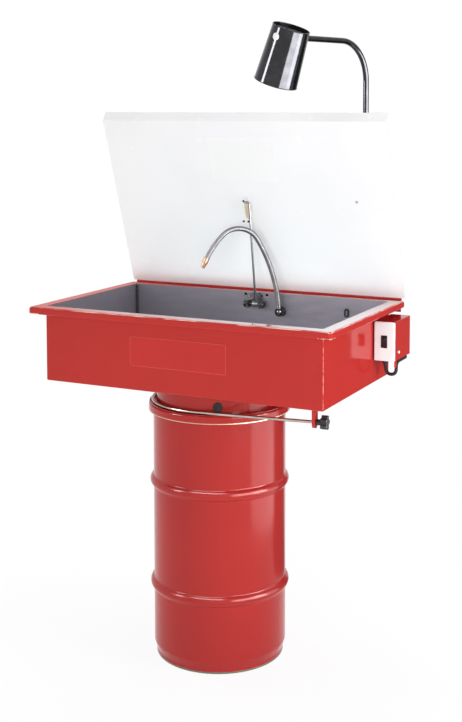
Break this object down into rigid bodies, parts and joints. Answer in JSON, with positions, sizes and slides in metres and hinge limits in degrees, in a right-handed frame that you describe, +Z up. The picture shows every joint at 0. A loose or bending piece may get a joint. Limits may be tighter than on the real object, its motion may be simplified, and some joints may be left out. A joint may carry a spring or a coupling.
{
  "type": "parts washer",
  "caption": "Drum-mounted parts washer: a sheet-steel wash tub with a propped lid, bendable spout, switch box and work lamp on an open-head drum with a pump inside.",
  "frame": {"origin": "centre of the drum's foot on the floor", "axes": "+X to the right along the tub, seen from its front; +Y to the back, where the lid is hinged; +Z up"},
  "size_m": [0.8918, 0.5865, 1.69],
  "materials": {
    "drum_paint": "gloss",
    "tub_paint": "gloss",
    "lid_paint": "gloss",
    "plate_paint": "gloss",
    "badge_paint": "gloss",
    "zinc_steel": "satin",
    "dark_steel": "satin",
    "chrome_hose": "polished",
    "black_chrome": "polished",
    "brass": "satin",
    "rubber_black": "matte",
    "black_plastic": "satin",
    "gloss_black_plastic": "gloss",
    "socket_plastic": "matte",
    "bulb_glass": "frosted",
    "pump_iron": "matte",
    "pump_paint": "satin",
    "core_steel": "matte",
    "bearing_bronze": "matte"
  },
  "bodies": {
    "stand": {"drum": "drum_paint", "tub": "tub_paint", "collar": "drum_paint", "collar_plug": "rubber_black", "collar_sleeves": "rubber_black", "wall_grommet": "rubber_black", "nameplate": "badge_paint", "drain_tube": "zinc_steel", "drain_strainer": "zinc_steel", "clamp_rod": "zinc_steel", "clamp_bracket": "tub_paint", "hinge_leaf": "tub_paint", "hinge_pin": "zinc_steel", "hinge_rivets": "zinc_steel", "prop_bracket": "dark_steel", "prop_pin": "zinc_steel", "prop_knobs": "black_plastic", "prop_screws": "zinc_steel", "spout_fitting": "black_plastic", "spout_locknut": "zinc_steel", "supply_elbow": "black_plastic", "supply_hose": "rubber_black", "hose_clamps": "zinc_steel", "pump_screen": "zinc_steel", "pump_volute": "pump_iron", "pump_motor_case": "pump_paint", "pump_stator": "core_steel", "pump_bearing_plate": "core_steel", "pump_bearings": "bearing_bronze", "pump_cap": "pump_paint", "pump_lead": "rubber_black", "box_body": "tub_paint", "box_spacers": "zinc_steel", "box_plate": "plate_paint", "box_screw": "zinc_steel", "switch_body": "black_plastic", "lead_gland": "black_plastic", "mains_inlet": "black_plastic", "lamp_bracket": "dark_steel", "lamp_base": "dark_steel"},
    "lid": {"lid_panel": "lid_paint", "lid_hinge_leaf": "lid_paint", "lid_rivets": "zinc_steel", "link_plate": "lid_paint", "fusible_link": "brass", "link_screws": "zinc_steel"},
    "prop": {"prop_rod": "dark_steel"},
    "spout": {"spout_ball": "chrome_hose", "spout_hose": "chrome_hose", "spout_nozzle": "brass"},
    "rocker": {"switch_rocker": "gloss_black_plastic"},
    "knob": {"clamp_knob": "black_plastic"},
    "lamp_post": {"lamp_arm": "black_chrome", "lamp_stem": "black_chrome"},
    "lamp_head": {"lamp_shade": "black_chrome", "lamp_socket": "socket_plastic", "lamp_bulb": "bulb_glass"},
    "pump_wheel": {"pump_rotor": "core_steel"}
  },
  "joints": [
    {"name": "lid_hinge", "type": "hinge", "parent": "stand", "child": "lid", "pos_m": [0, 0.2715, 0.947], "axis": [1, 0, 0], "range_deg": [0, 71]},
    {"name": "prop_fold", "type": "hinge", "parent": "stand", "child": "prop", "pos_m": [0, 0.215, 0.913], "axis": [1, 0, 0], "range_deg": [0, 82.81]},
    {"name": "spout_tilt", "type": "hinge", "parent": "stand", "child": "spout", "pos_m": [0.078, 0.214, 0.896], "axis": [1, 0, 0], "range_deg": [0, 82.81]},
    {"name": "switch_rock", "type": "hinge", "parent": "stand", "child": "rocker", "pos_m": [0.4295, 0.107, 0.86], "axis": [1, 0, 0], "range_deg": [-18, 0]},
    {"name": "clamp_turn", "type": "hinge", "parent": "stand", "child": "knob", "pos_m": [0.35124, -0.13256, 0.6923], "axis": [0.9907, 0.1357, 0], "continuous": true},
    {"name": "lamp_swivel", "type": "hinge", "parent": "stand", "child": "lamp_post", "pos_m": [0.301, 0.3, 0.88], "axis": [0, 0, 1], "range_deg": [-75, 75]},
    {"name": "shade_turn", "type": "hinge", "parent": "lamp_post", "child": "lamp_head", "pos_m": [0.20963, -0.01866, 1.648], "axis": [-0.2756, -0.9613, 0], "range_deg": [-60, 95]},
    {"name": "pump_spin", "type": "hinge", "parent": "stand", "child": "pump_wheel", "pos_m": [0.03, 0.02, 0.1], "axis": [0, 0, 1], "continuous": true}
  ],
  "couplings": [
    {"joint": "prop_fold", "follows": "lid_hinge", "ratio": 1.1635},
    {"joint": "spout_tilt", "follows": "lid_hinge", "ratio": 1.1635}
  ]
}
